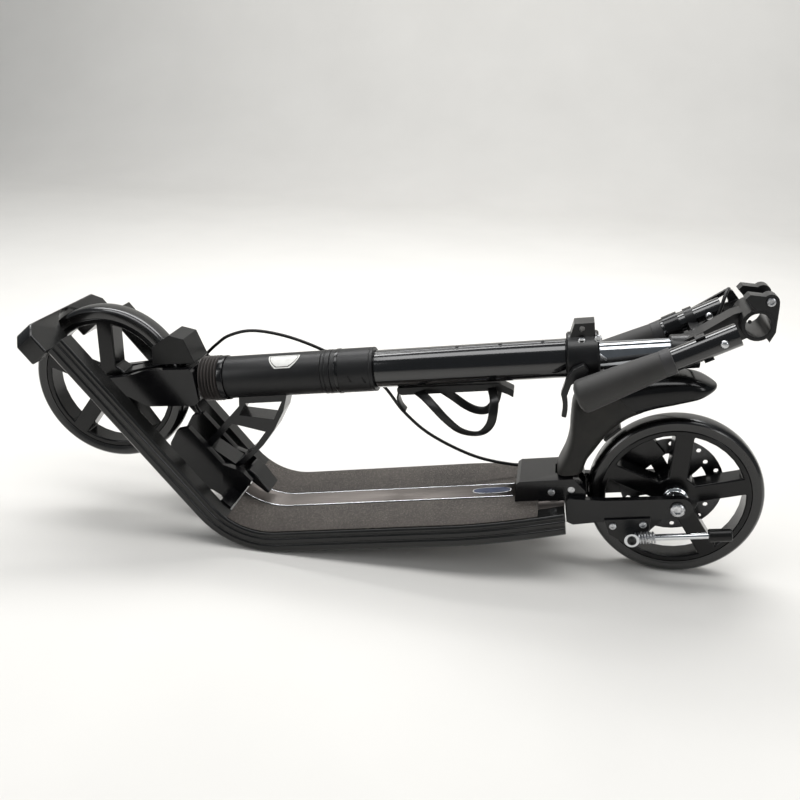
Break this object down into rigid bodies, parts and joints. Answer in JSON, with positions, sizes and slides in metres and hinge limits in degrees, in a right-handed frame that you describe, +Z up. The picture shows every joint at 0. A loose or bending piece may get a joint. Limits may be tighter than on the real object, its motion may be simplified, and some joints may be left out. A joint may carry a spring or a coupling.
{
  "type": "folding kick scooter",
  "caption": "Adult kick scooter folded flat: stem laid over a bent-rail deck, grips hung in clips, foot brake, disc brake, kickstand and bottle cage.",
  "frame": {"origin": "middle of the bounding box at floor level, with the scooter folded and resting on its rear wheel and the bend of its rails", "axes": "+X towards the rear wheel, +Z up, +Y to the scooter's right (the disc brake's side)"},
  "size_m": [0.9018, 0.17, 0.3533],
  "materials": {
    "aluminium": "brushed",
    "black_coat": "gloss black coating",
    "black_rail": "satin black anodised",
    "black_trim": "satin black",
    "cable": "black outer casing",
    "chrome": "polished",
    "grey_plastic": "matt dark grey",
    "grip_tape": "dark sandpaper with fine sparkle",
    "rubber": "matt dark grey",
    "steel": "plain",
    "tyre": "smooth black polyurethane"
  },
  "bodies": {
    "deck": {"deck_board": "aluminium", "grip_tape_left": "grip_tape", "grip_tape_right": "grip_tape", "rail_left": "black_rail", "rail_right": "black_rail", "nose_bridge": "black_rail", "hinge_bracket": "black_rail", "fold_axle": "steel", "rear_bracket": "black_rail", "foot_brake_axle": "steel", "rear_axle": "steel", "kickstand_bracket": "black_coat", "calliper": "black_trim", "brake_cable_deck": "cable"},
    "fold_pedal": {"fold_pedal": "black_coat"},
    "kickstand": {"kickstand_leg": "chrome", "kickstand_foot": "black_trim"},
    "rear_wheel": {"rear_tyre": "tyre", "rear_wheel": "black_rail", "rear_bearing_left": "steel", "rear_bearing_right": "steel", "brake_rotor": "steel", "rotor_carrier": "black_trim"},
    "foot_brake": {"fender": "grey_plastic", "brake_shoe": "black_trim"},
    "neck": {"neck_bracket": "black_rail", "head_tube": "black_rail", "headset_lower": "black_rail", "headset_upper": "black_rail", "brake_cable_lower": "cable"},
    "stem": {"steerer_tube": "steel", "main_tube": "black_rail", "stem_sleeve": "black_rail", "height_clamp": "black_rail", "clamp_bolt": "steel", "bottle_cage": "black_trim", "brake_cable_loop": "cable"},
    "clamp_lever": {"clamp_lever": "black_trim"},
    "fork": {"fork": "black_rail", "fork_slider": "steel", "front_axle": "steel", "front_mudguard": "grey_plastic", "bellows": "rubber"},
    "front_wheel": {"front_tyre": "tyre", "front_wheel": "black_rail", "front_bearing_left": "steel", "front_bearing_right": "steel"},
    "handlebar": {"inner_tube": "chrome", "t_head": "black_rail", "brake_cable_upper": "cable"},
    "left_grip": {"left_grip_tube": "black_rail", "left_grip": "rubber"},
    "right_grip": {"right_grip_tube": "black_rail", "right_grip": "rubber", "lever_bracket": "black_trim", "brake_cable_lever": "cable"},
    "left_snap_button": {"left_snap_button": "steel"},
    "right_snap_button": {"right_snap_button": "steel"},
    "brake_lever": {"brake_lever": "black_trim"}
  },
  "joints": [
    {"name": "fold", "type": "hinge", "parent": "deck", "child": "neck", "pos_m": [-0.24901, 0, 0.06183], "axis": [0, -1, 0], "range_deg": [0, 77], "deforming": ["brake_cable_lower"]},
    {"name": "steering", "type": "hinge", "parent": "neck", "child": "stem", "pos_m": [-0.18872, 0, 0.19221], "axis": [0.9876, 0, 0.1569], "range_deg": [-4, 4], "deforming": ["brake_cable_loop"]},
    {"name": "suspension", "type": "slide", "parent": "stem", "child": "fork", "axis": [0.9876, 0, 0.1569], "range_m": [0, 0.01], "stiffness_N_per_m": 9000, "deforming": ["bellows"]},
    {"name": "front_wheel_spin", "type": "hinge", "parent": "fork", "child": "front_wheel", "pos_m": [-0.35087, 0, 0.1708], "axis": [0, 1, 0], "continuous": true},
    {"name": "rear_wheel_spin", "type": "hinge", "parent": "deck", "child": "rear_wheel", "pos_m": [0.35087, 0, 0.1], "axis": [0, 1, 0], "continuous": true},
    {"name": "height", "type": "slide", "parent": "stem", "child": "handlebar", "axis": [0.9876, 0, 0.1569], "range_m": [0, 0.15], "deforming": ["brake_cable_upper"]},
    {"name": "left_grip_swing", "type": "hinge", "parent": "handlebar", "child": "left_grip", "pos_m": [0.37733, -0.02961, 0.31498], "axis": [-0.4944, 0, 0.8693], "range_deg": [0, 90]},
    {"name": "right_grip_swing", "type": "hinge", "parent": "handlebar", "child": "right_grip", "pos_m": [0.38802, 0.04191, 0.32106], "axis": [0.4944, 0, -0.8693], "range_deg": [0, 90], "deforming": ["brake_cable_lever"]},
    {"name": "left_button_press", "type": "slide", "parent": "left_grip", "child": "left_snap_button", "axis": [0, 1, 0], "range_m": [0, 0.003], "stiffness_N_per_m": 700},
    {"name": "right_button_press", "type": "slide", "parent": "right_grip", "child": "right_snap_button", "axis": [0, 1, 0], "range_m": [0, 0.003], "stiffness_N_per_m": 700},
    {"name": "brake_lever_squeeze", "type": "hinge", "parent": "right_grip", "child": "brake_lever", "pos_m": [0.39519, 0.07, 0.31536], "axis": [0, -1, 0], "range_deg": [0, 12], "stiffness_Nm_per_rad": 1.5},
    {"name": "clamp_lever_open", "type": "hinge", "parent": "stem", "child": "clamp_lever", "pos_m": [0.22473, -0.0362, 0.25385], "axis": [0, 1, 0], "range_deg": [0, 55]},
    {"name": "foot_brake_press", "type": "hinge", "parent": "deck", "child": "foot_brake", "pos_m": [0.2311, 0, 0.1046], "axis": [0, 1, 0], "range_deg": [0, 3.5], "stiffness_Nm_per_rad": 40},
    {"name": "kickstand_swing", "type": "hinge", "parent": "deck", "child": "kickstand", "pos_m": [0.30357, -0.0545, 0.06394], "axis": [0, 1, 0], "range_deg": [0, 100]},
    {"name": "fold_pedal_press", "type": "hinge", "parent": "deck", "child": "fold_pedal", "pos_m": [-0.16945, 0, 0.06871], "axis": [0, 1, 0], "range_deg": [0, 12], "stiffness_Nm_per_rad": 2}
  ]
}
